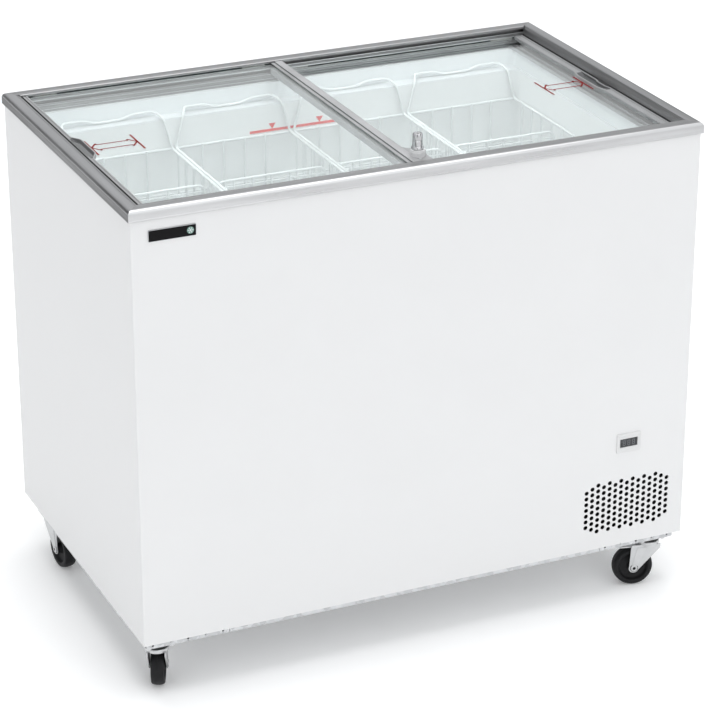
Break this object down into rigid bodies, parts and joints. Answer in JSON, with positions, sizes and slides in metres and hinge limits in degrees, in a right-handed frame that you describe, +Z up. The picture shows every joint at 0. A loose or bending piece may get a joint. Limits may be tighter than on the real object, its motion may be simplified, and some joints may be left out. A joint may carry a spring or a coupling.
{
  "type": "chest freezer",
  "caption": "White chest freezer on swivel casters with two flat sliding glass lids, hanging wire baskets, a lid lock, a display and a vented machine bay.",
  "frame": {"origin": "on the floor under the middle of the cabinet", "axes": "+X to the customer's right along the long side, +Y to the back, +Z up"},
  "size_m": [1.051, 0.65, 0.932],
  "materials": {
    "painted_white": "smooth white powder coat",
    "galvanised": "galvanised sheet",
    "aluminium": "satin anodised extrusion",
    "lid_glass": "clear toughened",
    "lid_trim": "satin grey moulding",
    "nylon": "plain nylon",
    "black_seal": "black flexible strip",
    "liner_white": "smooth white coated sheet",
    "surround_white": "white moulding",
    "foam": "rigid foam",
    "badge_black": "gloss black",
    "white_plastic": "satin white moulding",
    "display_dark": "smoked window",
    "black_plastic": "black moulding",
    "compressor_black": "black enamel",
    "rubber": "black rubber",
    "condenser_black": "black coated steel",
    "copper": "copper tube",
    "chrome": "polished",
    "zinc": "bright zinc plate",
    "wire_white": "white coated wire",
    "wheel_black": "hard black wheel"
  },
  "bodies": {
    "cabinet": {"outer_casing": "painted_white", "rear_panel": "painted_white", "base_pan": "galvanised", "caster_brackets": "galvanised", "machine_bay_liner": "galvanised", "inner_liner": "liner_white", "liner_surround": "surround_white", "foam_insulation": "foam", "drain_plug": "black_plastic", "temperature_probe": "black_plastic", "cord_inlet": "black_plastic", "controller_module": "black_plastic", "evaporator_coil": "copper", "refrigerant_pipes": "copper", "filter_drier": "copper", "front_rail": "aluminium", "rear_rail": "aluminium", "left_rail": "aluminium", "right_rail": "aluminium", "corner_keys": "aluminium", "end_seals": "black_seal", "badge": "badge_black", "display_bezel": "white_plastic", "display_window": "display_dark", "rear_grille": "painted_white", "compressor": "compressor_black", "compressor_grommets": "rubber", "terminal_box": "black_plastic", "condenser": "condenser_black", "fan_shroud": "galvanised", "fan_motor": "condenser_black", "cabinet_screws": "zinc", "caster_bolts": "zinc", "caster_top_plates": "zinc"},
    "left_lid": {"left_lid_glass": "lid_glass", "centre_bar": "aluminium", "left_lid_end_trim": "lid_trim", "left_lid_glides": "nylon", "lock_plate": "lid_trim", "lock_barrel": "chrome"},
    "lock_key_plug": {"lock_plug": "zinc"},
    "right_lid": {"right_lid_glass": "lid_glass", "right_lid_bar": "aluminium", "right_lid_end_trim": "lid_trim", "right_lid_glides": "nylon"},
    "fan": {"fan_blades": "black_plastic"},
    "basket_1": {"basket_1": "wire_white"},
    "basket_2": {"basket_2": "wire_white"},
    "basket_3": {"basket_3": "wire_white"},
    "basket_4": {"basket_4": "wire_white"},
    "front_left_swivel": {"caster_front_left_fork": "zinc"},
    "front_left_wheel": {"caster_front_left_wheel": "wheel_black"},
    "front_left_brake": {"caster_front_left_brake": "zinc"},
    "front_right_swivel": {"caster_front_right_fork": "zinc"},
    "front_right_wheel": {"caster_front_right_wheel": "wheel_black"},
    "front_right_brake": {"caster_front_right_brake": "zinc"},
    "rear_left_swivel": {"caster_rear_left_fork": "zinc"},
    "rear_left_wheel": {"caster_rear_left_wheel": "wheel_black"},
    "rear_right_swivel": {"caster_rear_right_fork": "zinc"},
    "rear_right_wheel": {"caster_rear_right_wheel": "wheel_black"}
  },
  "joints": [
    {"name": "left_lid_slide", "type": "slide", "parent": "cabinet", "child": "left_lid", "axis": [1, 0, 0], "range_m": [0, 0.45]},
    {"name": "right_lid_slide", "type": "slide", "parent": "cabinet", "child": "right_lid", "axis": [-1, 0, 0], "range_m": [0, 0.45]},
    {"name": "lock_turn", "type": "hinge", "parent": "left_lid", "child": "lock_key_plug", "pos_m": [0.0075, -0.267, 0.92], "axis": [0, 0, -1], "range_deg": [0, 90]},
    {"name": "fan_spin", "type": "hinge", "parent": "cabinet", "child": "fan", "pos_m": [0.4, -0.224, 0.192], "axis": [0, -1, 0], "continuous": true},
    {"name": "basket_1_lift", "type": "slide", "parent": "cabinet", "child": "basket_1", "axis": [0, 0, 1], "range_m": [0, 0.028]},
    {"name": "basket_2_lift", "type": "slide", "parent": "cabinet", "child": "basket_2", "axis": [0, 0, 1], "range_m": [0, 0.028]},
    {"name": "basket_3_lift", "type": "slide", "parent": "cabinet", "child": "basket_3", "axis": [0, 0, 1], "range_m": [0, 0.028]},
    {"name": "basket_4_lift", "type": "slide", "parent": "cabinet", "child": "basket_4", "axis": [0, 0, 1], "range_m": [0, 0.028]},
    {"name": "front_left_swivel_turn", "type": "hinge", "parent": "cabinet", "child": "front_left_swivel", "pos_m": [-0.489, -0.292, 0.09], "axis": [0, 0, 1], "continuous": true},
    {"name": "front_left_wheel_roll", "type": "hinge", "parent": "front_left_swivel", "child": "front_left_wheel", "pos_m": [-0.47802, -0.26733, 0.0375], "axis": [-0.9135, 0.4067, 0], "continuous": true},
    {"name": "front_left_brake_lift", "type": "hinge", "parent": "front_left_swivel", "child": "front_left_brake", "pos_m": [-0.48249, -0.27738, 0.0775], "axis": [0.9135, -0.4067, 0], "range_deg": [0, 15]},
    {"name": "front_right_swivel_turn", "type": "hinge", "parent": "cabinet", "child": "front_right_swivel", "pos_m": [0.47, -0.292, 0.09], "axis": [0, 0, 1], "continuous": true},
    {"name": "front_right_wheel_roll", "type": "hinge", "parent": "front_right_swivel", "child": "front_right_wheel", "pos_m": [0.44392, -0.28501, 0.0375], "axis": [-0.2588, -0.9659, 0], "continuous": true},
    {"name": "front_right_brake_lift", "type": "hinge", "parent": "front_right_swivel", "child": "front_right_brake", "pos_m": [0.45454, -0.28786, 0.0775], "axis": [0.2588, 0.9659, 0], "range_deg": [0, 15]},
    {"name": "rear_left_swivel_turn", "type": "hinge", "parent": "cabinet", "child": "rear_left_swivel", "pos_m": [-0.49, 0.235, 0.09], "axis": [0, 0, 1], "continuous": true},
    {"name": "rear_left_wheel_roll", "type": "hinge", "parent": "rear_left_swivel", "child": "rear_left_wheel", "pos_m": [-0.48765, 0.2081, 0.0375], "axis": [0.9962, 0.0872, 0], "continuous": true},
    {"name": "rear_right_swivel_turn", "type": "hinge", "parent": "cabinet", "child": "rear_right_swivel", "pos_m": [0.47, 0.235, 0.09], "axis": [0, 0, 1], "continuous": true},
    {"name": "rear_right_wheel_roll", "type": "hinge", "parent": "rear_right_swivel", "child": "rear_right_wheel", "pos_m": [0.46531, 0.26159, 0.0375], "axis": [-0.9848, -0.1736, 0], "continuous": true}
  ]
}
